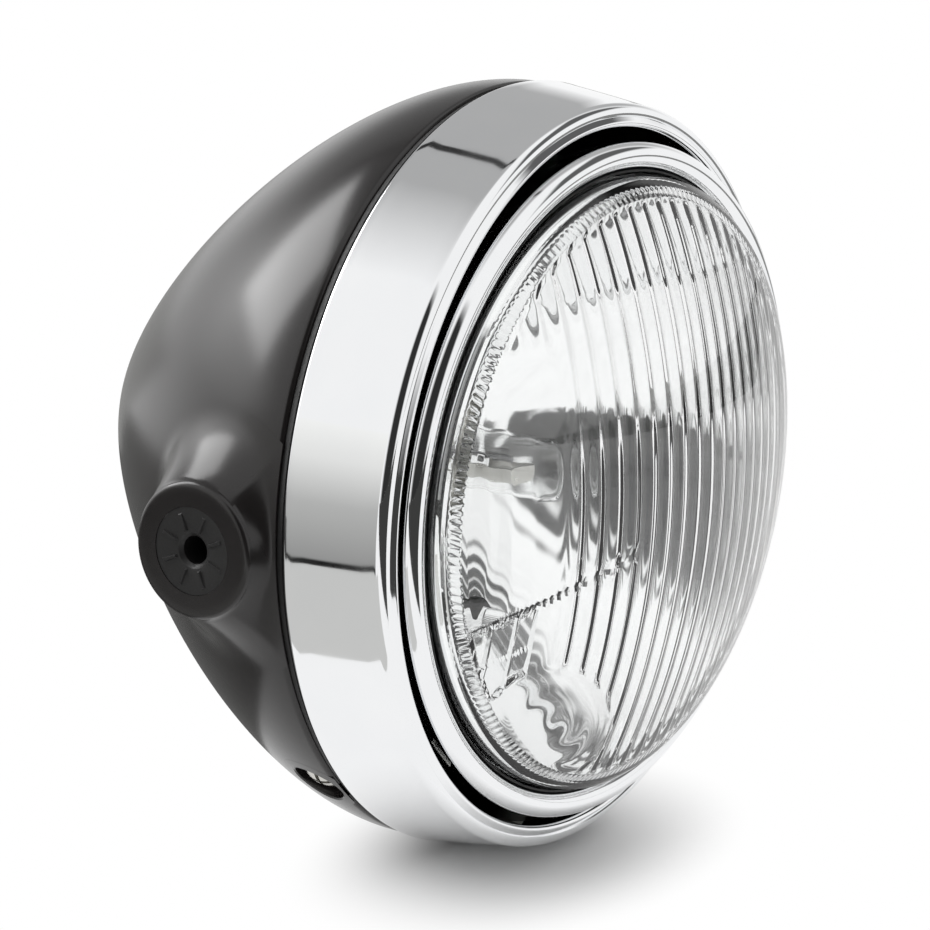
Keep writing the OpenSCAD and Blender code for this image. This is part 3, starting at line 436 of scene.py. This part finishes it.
def bowl_skin():
    """The whole bowl, with openings cut in the turned shell and patches set into them."""
    steps = 400
    start = next(i for i, c in enumerate(CURVE) if c[1] > SEAM_GAP + 1.6) / 3000
    edge_r, edge_u = bowl_curve(start)
    outline = [(edge_r - 2.2, SEAM_GAP + 0.05), (edge_r - 1.6, SEAM_GAP + 0.05)]
    outline += [(edge_r - 1.6 + 1.6 * sin(radians(a)), edge_u - 1.55 * cos(radians(a))) for a in range(10, 90, 10)]
    rows = 150
    outline += [bowl_curve(start + (0.9995 - start) * i / rows) for i in range(rows + 1)]
    points, faces = revolve(outline, steps, False)
    faces.append(tuple(len(points) - steps + i for i in range(steps)))

    sides = [Vector((-1, 0, 0)), Vector((1, 0, 0))]
    front = Vector((0, -1, 0))
    screws = [Vector((cos(radians(a)), 0, sin(radians(a)))) for a in SCREW_ANGLES]
    mark = Vector((cos(radians(MARK_ANGLE)), 0, sin(radians(MARK_ANGLE))))
    inlet_r, inlet_u = bowl_curve(INLET_PLACE)
    near_r, near_u = bowl_curve(INLET_PLACE + 0.001)
    down = Vector((0, inlet_r - near_r, -(near_u - inlet_u))).normalized()
    inlet = Vector((0, inlet_u, -inlet_r))

    def covered(p):
        for side in sides:
            if p.x * side.x > 0:
                du, dz = BOSS_U - p.y, p.z - BOSS_Z
                d = sqrt(du * du + dz * dz)
                if d < BOSS_R + boss_reach(du / d if d else 1) - 1.0:
                    return True
        for out in screws:
            off = p - out * p.dot(out)
            if p.dot(out) > 0 and (off.y - RECESS_U) ** 2 + off.x ** 2 + off.z ** 2 < (RECESS_R + 1.6) ** 2:
                return True
        off = p - mark * p.dot(mark)
        if p.dot(mark) > 0 and (off.y - MARK_U) ** 2 + off.x ** 2 + off.z ** 2 < 3.4 ** 2:
            return True
        off = p - inlet
        return off.length < 30 and (off - down * off.dot(down)).length < INLET_R + 1.2 and off.dot(down) > -8

    places = [Vector(p) for p in points]
    faces = [f for f in faces if not covered(sum((places[v] for v in f), Vector()) / len(f))]

    # Bosses: flat face, rounded edge and hollow foot
    flat = [INSERT_R, 12, 13.5, BOSS_R - BOSS_EDGE]
    rounding = [BOSS_R - BOSS_EDGE + BOSS_EDGE * sin(radians(a)) for a in range(15, 91, 15)]
    count = 22
    spread = [(lambda angle, s=i / count: BOSS_R + boss_reach(cos(angle)) * s) for i in range(1, count + 1)]
    overlap = [lambda angle: BOSS_R + boss_reach(cos(angle)) + 1.2]

    def boss_height(k, d, angle, surface):
        if k < len(flat):
            return BOSS_FACE
        k -= len(flat)
        if k < len(rounding):
            return BOSS_FACE - BOSS_EDGE * (1 - cos(radians(15 * (k + 1))))
        k -= len(rounding)
        rest = max(0, 1 - (k + 1) / count)
        return surface + 0.03 + (BOSS_FACE - BOSS_EDGE - surface) * rest ** 2.5

    for out in sides:
        polar_patch(points, faces, Vector((0, BOSS_U, BOSS_Z)), out, front, flat + rounding + spread + overlap,
                    boss_height, 240)

    # Recesses of the ring screws: floor, wall, rounded mouth
    def recess_height(k, d, angle, surface):
        if k < 2:
            return RECESS_FLOOR
        return surface + (0.02 if k > 2 else -0.35)

    for out in screws:
        polar_patch(points, faces, Vector((0, RECESS_U, 0)), out, front,
                    [2.7, RECESS_R, RECESS_R, RECESS_R + 0.4, RECESS_R + 1.2, RECESS_R + 3.2], recess_height, 96)

    # Punched mark: shallow round hollow
    def mark_height(k, d, angle, surface):
        return surface + 0.02 - MARK_DEPTH * max(0, 1 - (d / MARK_R) ** 2) ** 1.2

    polar_patch(points, faces, Vector((0, MARK_U, 0)), mark, front,
                [0.01, 0.5, 1, 1.5, 1.9, 2.2, 2.5, 2.8, 3.4, 4.4, 5.4], mark_height, 72)

    # Cable inlet: edge turned in behind the grommet
    def inlet_height(k, d, angle, surface):
        return surface + (0.02 if k > 0 else -2.2)

    polar_patch(points, faces, inlet - down * 20, down, front.cross(down).cross(down),
                [INLET_R + 0.02, INLET_R + 0.02, INLET_R + 1, INLET_R + 2, INLET_R + 3.4], inlet_height, 120)
    return make_piece("bowl_skin", points, faces, HOUSING, "black_paint", "housing", ["bowl"], 40)


bowl_skin()


# Toothed face of a threaded insert

def insert_face(side, name, replaced):
    """Turned insert with eight short ribs on its outer face."""
    steps = 128
    front = BOSS_FACE - 0.04
    profile = [(THREAD_R, front - 18), (THREAD_R, front - 1.6), (THREAD_R + 0.9, front - 0.7),
               (THREAD_R + 1.2, front - 0.62), (INSERT_R - 0.3, front - 0.1), (INSERT_R - 0.05, front - 0.1),
               (INSERT_R - 0.05, front - 3), (INSERT_R - 4, front - 3), (INSERT_R - 4, front - 18)]
    turned, faces = revolve(profile, steps)
    points = [(side * u, BOSS_U + r, BOSS_Z + z) for r, u, z in turned]
    # Short ribs with sloping ends
    for i in range(8):
        a = radians(45 * i + 22.5)
        along = Vector((0, cos(a), sin(a)))
        across = Vector((0, -sin(a), cos(a)))
        base = Vector((0, BOSS_U, BOSS_Z))
        first = len(points)
        for r, half, h in ((4.7, 0.45, 0.75), (9.4, 0.75, 0.45), (5.2, 0.25, 0.0), (8.9, 0.4, 0.0)):
            for w in (-half, half):
                p = base + along * r + across * w
                points.append((side * (front - h), p.y, p.z))
        b = [first + k for k in range(8)]
        faces += [(b[4], b[5], b[7], b[6]), (b[0], b[4], b[6], b[2]), (b[1], b[3], b[7], b[5]),
                  (b[0], b[1], b[5], b[4]), (b[2], b[6], b[7], b[3])]
    return make_piece(name, points, faces, HOUSING, "black_steel", "housing", [replaced], 30)


insert_face(-1, "insert_face_left", "boss_insert_left")
insert_face(1, "insert_face_right", "boss_insert_right")


# Chrome outer ring

def outer_ring():
    """Turned chrome ring with a rolled front corner, a groove, a bead and a hem."""
    corner_r = RING_FRONT_R - RING_ROLL
    corner_u = -RING_DEPTH + RING_ROLL
    outside = arc(RING_R / MM - 1.1, -1.3, 1.1, 75, 0, 6)
    outside += [(RING_R / MM + (RING_FRONT_R - RING_R / MM) * (i / 8) ** 1.15, corner_u * i / 8) for i in range(1, 8)]
    outside += arc(corner_r, corner_u, RING_ROLL, 0, -90, 12)
    groove = [(corner_r - 0.3, -RING_DEPTH), (corner_r - 0.6, -RING_DEPTH + 0.25), (corner_r - 0.9, -RING_DEPTH)]
    bead = arc(LIP_R + 1.1, -RING_DEPTH + 0.1, 0.8, -40, -140, 6)
    lip = arc(LIP_R + 0.8, -RING_DEPTH + 0.8, 0.8, -120, -180, 5)
    hem = [(LIP_R, -RING_DEPTH + HEM_DEPTH), (LIP_R + SHEET, -RING_DEPTH + HEM_DEPTH),
           (LIP_R + SHEET, -RING_DEPTH + SHEET)]
    inside = arc(corner_r, corner_u, RING_ROLL - SHEET, -90, 0, 8) + [(RING_R / MM - SHEET - 0.5, -0.2)]
    points, faces = revolve(outside + groove + bead + lip + hem + inside, ROUND_STEPS)
    return make_piece("chrome_ring_skin", points, faces, HOUSING, "chrome_plate", "housing", ["outer_ring"])


outer_ring()


# Chrome inner rim, wrapped round the glass

def inner_rim():
    """Turned chrome rim with a full roll in front."""
    centre_r = RIM_R - ROLL_R
    wall = 0.9
    profile = [(RIM_R, RIM_REAR_U), (RIM_R, -20), (RIM_R, -26)]
    profile += arc(centre_r, ROLL_U, ROLL_R, 0, -180, 28)
    profile += arc(centre_r, ROLL_U, ROLL_R - wall, -180, 0, 20)
    profile += [(RIM_R - wall, RIM_REAR_U)]
    points, faces = revolve(profile, ROUND_STEPS)
    return make_piece("inner_rim_skin", points, faces, OPTIC, "chrome_plate", "optic", ["inner_rim"])


inner_rim()


# Glass: smooth dome outside, flutes inside, fine teeth round the cone

def step(value, edge, width):
    """Smooth rise from 0 to 1 round an edge."""
    t = min(1, max(0, (value - edge) / width + 0.5))
    return t * t * (3 - 2 * t)


def flute_height(x, z):
    """Depth of the inside pattern: flutes, clear glass on one side, a tilted line, blocks and a smooth window."""
    phase = (x / FLUTE_PITCH + 0.5) % 1 - 0.5
    flute = 0.5 + 0.5 * cos(2 * pi * phase)
    flute = FLUTE_H * (0.55 * flute + 0.45 * (1 - (2 * phase) ** 2))
    height = flute * (0.5 + 0.25 * step(z, CROSS_Z, 0.8) + 0.25 * (1 - step(z, 20, 20)))
    height *= 1 - 0.92 * step(-x, CLEAR_X, 8) * (1 - step(z, CLEAR_Z, 6))
    # Low on one side a line and two rows of blocks, tilted by 15 degrees
    tilted = z - TILT * (x + 25)
    inner, outer = BLOCKS_X
    top, bottom = BLOCKS_DOWN
    block = (step(-x, inner, 0.4) * (1 - step(-x, outer, 0.4))
             * step(-tilted, top, 0.4) * (1 - step(-tilted, bottom, 0.4)))
    if block:
        rows = ((-tilted - top) / BLOCK_H) % 1
        cells = ((x + outer + 0.4) / FLUTE_PITCH) % 1
        height = height * (1 - block) + block * (0.6 + 0.8 * rows) * step(cells, 0.12, 0.08)
    if -outer < x < -20 and abs(tilted - LINE_Z) < 0.8:
        height += 0.7 * (1 - abs(tilted - LINE_Z) / 0.8)
    # Window: an oval along the edge of the glass
    off_x, off_z = x - WINDOW[0], z - WINDOW[1]
    along = (off_x * 0.844 - off_z * 0.538) / WINDOW_SIZE[0]
    across = (off_x * 0.538 + off_z * 0.844) / WINDOW_SIZE[1]
    window = sqrt(along ** 2 + across ** 2)
    clear = 1 - step(window, 1, 0.08)
    return height * (1 - clear) + clear * 0.12 * (0.5 + 0.5 * cos(window * 14))


def lens():
    """Domed glass with teeth round its cone and the pattern inside."""
    steps = GLASS_STEPS
    sphere = (DOME_R ** 2 + DOME_H ** 2) / (2 * DOME_H)
    centre_u = DOME_U - DOME_H + sphere
    inner_sphere = sphere - GLASS_T
    inner_r = DOME_R - 2.6
    points = []
    faces = []

    def add_ring(ring):
        start = len(points)
        points.extend(ring)
        return start

    def join(a, b):
        for i in range(steps):
            n = (i + 1) % steps
            faces.append((a + i, a + n, b + n, b + i))

    # Outside, from the tip of the dome to the flange
    tip = add_ring([(0, centre_u - sphere, 0)])
    rings = []
    count = 26
    for j in range(1, count + 1):
        r = DOME_R * j / count
        rings.append(add_ring(ring_points(r, centre_u - sqrt(sphere ** 2 - r ** 2), steps)))
    faces.extend((tip, rings[0] + (i + 1) % steps, rings[0] + i) for i in range(steps))
    shoulder = [(DOME_R + 0.4, DOME_U + 0.25), (GLASS_R - 1.7, SHOULDER_U - 0.6), (GLASS_R - 1.15, SHOULDER_U),
                (GLASS_R - 1, SHOULDER_U + 0.7), (GLASS_R, LENS_FRONT_U), (GLASS_FLANGE_R, LENS_FRONT_U),
                (GLASS_FLANGE_R, LENS_REAR_U), (GLASS_R - GLASS_T, LENS_REAR_U),
                (GLASS_R - GLASS_T - 1, SHOULDER_U + 2.4)]
    for r, u in shoulder:
        rings.append(add_ring(ring_points(r, u, steps)))
    # Teeth round the inside of the cone
    inner_edge_u = centre_u - sqrt(inner_sphere ** 2 - inner_r ** 2)
    for r, u in [(GLASS_R - GLASS_T - 1.4, SHOULDER_U + 1.4), (inner_r, inner_edge_u)]:
        ring = []
        for i, p in enumerate(ring_points(1, 0, steps)):
            tooth = TOOTH_H if i % 4 < 2 else -TOOTH_H
            ring.append((p[0] * (r + tooth * 0.5), u + tooth, p[2] * (r + tooth * 0.5)))
        rings.append(add_ring(ring))
    for a, b in zip(rings, rings[1:]):
        join(a, b)

    # Inside with flutes: columns at even angles of the rim, so that the grid meets the teeth
    half = steps // 2
    rows = 150
    edge = rings[-1]
    columns = []
    for i in range(half + 1):
        angle = -pi / 2 + pi * i / half
        x = inner_r * sin(angle)
        reach = inner_r * cos(angle)
        column = []
        for j in range(1, rows):
            z = reach * sin(pi / 2 * (2 * j / rows - 1))
            r2 = x * x + z * z
            base = centre_u - sqrt(inner_sphere ** 2 - r2)
            fade = min(1, max(0, (inner_r - sqrt(r2)) / 1.5))
            column.append((x, base + flute_height(x, z) * fade, z))
        columns.append(column)
    starts = [add_ring(column) if 0 < i < half else None for i, column in enumerate(columns)]

    def corner(ci, cj):
        """Vertex of the grid. The edge ring starts at +X and turns towards +Z."""
        if ci in (0, half):
            return edge + half - ci
        if cj == 0:
            return edge + (half + ci) % steps
        if cj == rows:
            return edge + half - ci
        return starts[ci] + cj - 1

    for i in range(half):
        for j in range(rows):
            quad = [corner(i, j), corner(i, j + 1), corner(i + 1, j + 1), corner(i + 1, j)]
            face = []
            for v in quad:
                if v not in face:
                    face.append(v)
            if len(face) > 2:
                faces.append(tuple(face))
    return make_piece("lens_glass", points, faces, OPTIC, "clear_glass", "optic", ["lens"], 20)


lens()


# Reflector: one smooth shell

def reflector():
    """Parabola with a rolled flange and the bulb's neck."""
    focal = 24
    vertex = 30
    hole_r = 19.6
    flange_u = -24.3
    edge_r = sqrt((vertex - flange_u) * 4 * focal)
    count = 40
    front = [hole_r + (edge_r - hole_r) * i / count for i in range(count + 1)]
    profile = [(r, vertex - r * r / (4 * focal)) for r in front]
    profile += [(82.9, flange_u), (82.9, flange_u + 0.8), (edge_r + 0.6, flange_u + 0.8)]
    profile += [(r, vertex - r * r / (4 * focal) + 1.2) for r in reversed(front)]
    points, faces = revolve(profile, 240)
    neck = [(22.8, 25), (22.8, 33), (19.6, 33), (19.6, 34), (24, 34), (24, 24.6)]
    more_points, more_faces = revolve(neck, 240)
    faces += [tuple(v + len(points) for v in face) for face in more_faces]
    points += more_points
    return make_piece("reflector_skin", points, faces, OPTIC, "bright_mirror", "optic", ["reflector"])


reflector()


def reflector_rim():
    """Upturned edge of the reflector, just inside the side of the glass."""
    inner = GLASS_R - GLASS_T - 1.1
    profile = [(inner, LENS_REAR_U), (inner - 0.9, -31.6), (inner - 0.55, -32.1), (inner - 0.1, -31.6),
               (inner + 0.8, LENS_REAR_U)]
    points, faces = revolve(profile, 240)
    return make_piece("reflector_rim", points, faces, OPTIC, "bright_mirror", "optic")


reflector_rim()


# Floor, light and camera

def plain_floor():
    """Pale floor that keeps the lamp's shadow."""
    mesh = bpy.data.meshes.new("floor")
    size = 6
    mesh.from_pydata([(-size, -size, 0), (size, -size, 0), (size, size, 0), (-size, size, 0)], [], [(0, 1, 2, 3)])
    mat, nodes, links, shader = new_material("floor_white", (0.9, 0.9, 0.895), 0.6)
    shader.inputs["Specular IOR Level"].default_value = 0.2
    # White away from the lamp, for the camera, for metal and for glass; the shadow stays
    place = nodes.new("ShaderNodeTexCoord")
    oval = nodes.new("ShaderNodeMapping")
    oval.inputs["Location"].default_value = (0.005, 0.034, 0)
    oval.inputs["Scale"].default_value = (0.65, 1, 1)
    far = nodes.new("ShaderNodeVectorMath")
    far.operation = "LENGTH"
    links.new(place.outputs["Object"], oval.inputs["Vector"])
    links.new(oval.outputs["Vector"], far.inputs[0])
    away = nodes.new("ShaderNodeMapRange")
    away.interpolation_type = "SMOOTHSTEP"
    away.inputs["From Min"].default_value = 0.012
    away.inputs["From Max"].default_value = 0.052
    links.new(far.outputs["Value"], away.inputs["Value"])
    path = nodes.new("ShaderNodeLightPath")
    seen = math(nodes, links, "MAXIMUM", path.outputs["Is Camera Ray"],
                math(nodes, links, "MAXIMUM", path.outputs["Is Glossy Ray"], path.outputs["Is Transmission Ray"]))
    white = nodes.new("ShaderNodeEmission")
    blend = nodes.new("ShaderNodeMixShader")
    links.new(math(nodes, links, "MULTIPLY", away.outputs["Result"], seen), blend.inputs["Fac"])
    links.new(shader.outputs["BSDF"], blend.inputs[1])
    links.new(white.outputs["Emission"], blend.inputs[2])
    links.new(blend.outputs["Shader"], nodes["Material Output"].inputs["Surface"])
    mesh.materials.append(mat)
    floor = bpy.data.objects.new("floor", mesh)
    floor.location.z = FLOOR_Z
    bpy.context.scene.collection.objects.link(floor)


def add_area(name, place, aim, size, power):
    """Area lamp aimed at a point."""
    light = bpy.data.lights.new(name, "AREA")
    light.shape = "RECTANGLE"
    light.size, light.size_y = size
    light.energy = power
    lamp = bpy.data.objects.new(name, light)
    lamp.location = place
    lamp.rotation_euler = (Vector(aim) - Vector(place)).to_track_quat("-Z", "Y").to_euler()
    bpy.context.scene.collection.objects.link(lamp)


def reflecting_card(name, corners, stops):
    """Card seen only by shiny things. The greys run from its lower to its upper edge; a flat card has the last."""
    mesh = bpy.data.meshes.new(name)
    mesh.from_pydata(corners, [], [(0, 1, 2, 3)])
    low, high = min(c[2] for c in corners) - 0.0001, max(c[2] for c in corners)
    mat = bpy.data.materials.new(name)
    mat.use_nodes = True
    nodes, links = mat.node_tree.nodes, mat.node_tree.links
    nodes.clear()
    place = nodes.new("ShaderNodeTexCoord")
    parts = nodes.new("ShaderNodeSeparateXYZ")
    links.new(place.outputs["Object"], parts.inputs["Vector"])
    tone = nodes.new("ShaderNodeValToRGB")
    while len(tone.color_ramp.elements) < len(stops):
        tone.color_ramp.elements.new(0.5)
    for element, (at, grey) in zip(tone.color_ramp.elements, stops):
        element.position = at
        element.color = (grey, grey, grey * 0.98, 1)
    links.new(ramp(nodes, links, parts.outputs["Z"], 0, 1, low, high), tone.inputs["Fac"])
    glow = nodes.new("ShaderNodeEmission")
    links.new(tone.outputs["Color"], glow.inputs["Color"])
    out = nodes.new("ShaderNodeOutputMaterial")
    links.new(glow.outputs["Emission"], out.inputs["Surface"])
    mesh.materials.append(mat)
    card = bpy.data.objects.new(name, mesh)
    card.visible_camera = False
    card.visible_diffuse = False
    card.visible_shadow = False
    bpy.context.scene.collection.objects.link(card)


def studio():
    """White studio. What metal, paint and glass see of it: grey overhead, a brighter backdrop, dark in front."""
    world = bpy.data.worlds.new("studio")
    bpy.context.scene.world = world
    world.use_nodes = True
    nodes, links = world.node_tree.nodes, world.node_tree.links
    back = nodes["Background"]
    coord = nodes.new("ShaderNodeTexCoord")
    parts = nodes.new("ShaderNodeSeparateXYZ")
    links.new(coord.outputs["Generated"], parts.inputs["Vector"])
    x, y, z = (parts.outputs[k] for k in "XYZ")

    def band(value, a, b):
        return ramp(nodes, links, value, 0, 1, a, b)

    # Overhead: from white on the left to grey on the right, with one dark bar
    up = math(nodes, links, "MULTIPLY", band(z, 0.2, 0.4), band(y, -0.15, 0.05))
    grey_x = band(x, -0.45, 0.05)
    off_bar = math(nodes, links, "ABSOLUTE", math(nodes, links, "SUBTRACT", x, 0.3))
    bar = math(nodes, links, "LESS_THAN", off_bar, 0.02)
    overhead = math(nodes, links, "SUBTRACT", 1, math(nodes, links, "MULTIPLY", grey_x, 0.55))
    overhead = math(nodes, links, "SUBTRACT", overhead, math(nodes, links, "MULTIPLY", bar, 0.42))
    room = nodes.new("ShaderNodeMix")
    links.new(up, room.inputs["Factor"])
    room.inputs["A"].default_value = 1
    links.new(overhead, room.inputs["B"])
    # Backdrop behind the lamp, lit brighter than the rest
    behind = math(nodes, links, "MULTIPLY", band(y, 0.6, 0.9),
                  math(nodes, links, "MULTIPLY", band(x, 0.4, 0.1),
                       math(nodes, links, "MULTIPLY", band(z, 0.65, 0.3), band(z, 0.05, 0.22))))
    lit = nodes.new("ShaderNodeMix")
    links.new(behind, lit.inputs["Factor"])
    links.new(room.outputs["Result"], lit.inputs["A"])
    lit.inputs["B"].default_value = 2.2
    # In front: dark behind the camera, half dark in one patch on the other side
    front = band(math(nodes, links, "MULTIPLY", y, -1), 0.05, 0.3)
    below = band(math(nodes, links, "ADD", x, z), 0.44, 0.28)
    dark = math(nodes, links, "MULTIPLY", front, math(nodes, links, "MULTIPLY", band(x, -0.12, -0.28), below))
    side = math(nodes, links, "MULTIPLY", band(math(nodes, links, "MULTIPLY", y, -1), 0.1, 0.2),
                math(nodes, links, "MULTIPLY", band(x, 0.42, 0.5),
                     math(nodes, links, "MULTIPLY", band(z, 0.76, 0.7), band(z, 0.36, 0.44))))
    half_dark = nodes.new("ShaderNodeMix")
    links.new(side, half_dark.inputs["Factor"])
    links.new(lit.outputs["Result"], half_dark.inputs["A"])
    half_dark.inputs["B"].default_value = 0.12
    seen = nodes.new("ShaderNodeMix")
    links.new(dark, seen.inputs["Factor"])
    links.new(half_dark.outputs["Result"], seen.inputs["A"])
    seen.inputs["B"].default_value = 0.03
    # Camera sees plain white, matt things a plain level, glass and metal the room
    path = nodes.new("ShaderNodeLightPath")
    shiny = math(nodes, links, "MAXIMUM", path.outputs["Is Glossy Ray"], path.outputs["Is Transmission Ray"])
    level = nodes.new("ShaderNodeMix")
    links.new(shiny, level.inputs["Factor"])
    level.inputs["A"].default_value = 0.5
    links.new(seen.outputs["Result"], level.inputs["B"])
    final = nodes.new("ShaderNodeMix")
    links.new(path.outputs["Is Camera Ray"], final.inputs["Factor"])
    links.new(level.outputs["Result"], final.inputs["A"])
    final.inputs["B"].default_value = 1
    links.new(final.outputs["Result"], back.inputs["Strength"])
    back.inputs["Color"].default_value = (1, 1, 1, 1)
    add_area("soft_box", (-0.21, 0.68, 0.56), (0, 0, 0), (0.55, 0.55), 5)
    low = FLOOR_Z + 0.001

    def upright(x, y0, y1, high):
        return [(x, y0, low), (x, y1, low), (x, y1, high), (x, y0, high)]

    def flat(name, places, grey, height=low):
        reflecting_card(name, [(x, y, height) for x, y in places], [(0.0, grey), (1.0, grey)])

    reflecting_card("grey_card", upright(-0.33, -0.02, 0.5, 0.11),
                    [(0.0, 0.01), (0.04, 0.01), (0.055, 0.33), (0.45, 0.5), (0.75, 0.85), (1.0, 1.0)])
    reflecting_card("dark_card", upright(-0.32, 0.1, 0.45, -0.03), [(0.0, 0.04), (1.0, 0.1)])
    flat("front_card", [(-5.9, -5.9), (0.6, -5.9), (-0.02, -0.24), (-5.9, -0.24)], 0.05)
    flat("side_card", [(1, -5.9), (5.9, -5.9), (5.9, -0.25), (1, -0.25)], 0.25)
    # Grey sheet on the floor behind the lamp that only shiny things see: painted shadow of the lamp on the floor
    # behind the bowl, as it shows in the paint and chrome
    flat("painted_shadow_card", [(-0.3, 0.05), (0.3, 0.05), (0.3, 0.6), (-0.3, 0.6)], 0.2)
    flat("back_card", [(0.2, 0.35), (5.9, 0.35), (5.9, 5.9), (2, 5.9)], 0.5, low + 0.0005)
    flat("left_card", [(-0.33, -0.12), (-0.14, -0.12), (-0.165, 0.1), (-0.33, 0.3)], 0.62, low + 0.0005)


def camera():
    """The photograph's camera: angles in degrees, distance from the middle of the ring's rear edge."""
    azimuth, elevation, roll = radians(-57.857), radians(13.616), radians(1.9)
    distance = 7.846 * RING_R
    frame_px = 930
    focal_px = 3000
    offset_px = (45.364, -1.361)
    sensor = 36
    back = Vector((sin(azimuth) * cos(elevation), -cos(azimuth) * cos(elevation), sin(elevation)))
    right = Vector((cos(azimuth), sin(azimuth), 0))
    up = back.cross(right)
    rolled_right = right * cos(roll) + up * sin(roll)
    rolled_up = up * cos(roll) - right * sin(roll)
    data = bpy.data.cameras.new("camera")
    data.sensor_width = sensor
    data.lens = focal_px / frame_px * sensor
    data.shift_x = -offset_px[0] / frame_px
    data.shift_y = offset_px[1] / frame_px
    cam = bpy.data.objects.new("camera", data)
    turn = Matrix((rolled_right, rolled_up, back)).transposed()
    cam.matrix_world = Matrix.Translation(Vector((0, SEAM_Y, AXIS_Z)) + back * distance) @ turn.to_4x4()
    bpy.context.scene.collection.objects.link(cam)
    bpy.context.scene.camera = cam


plain_floor()
studio()
camera()
bpy.context.scene.view_settings.view_transform = "Standard"
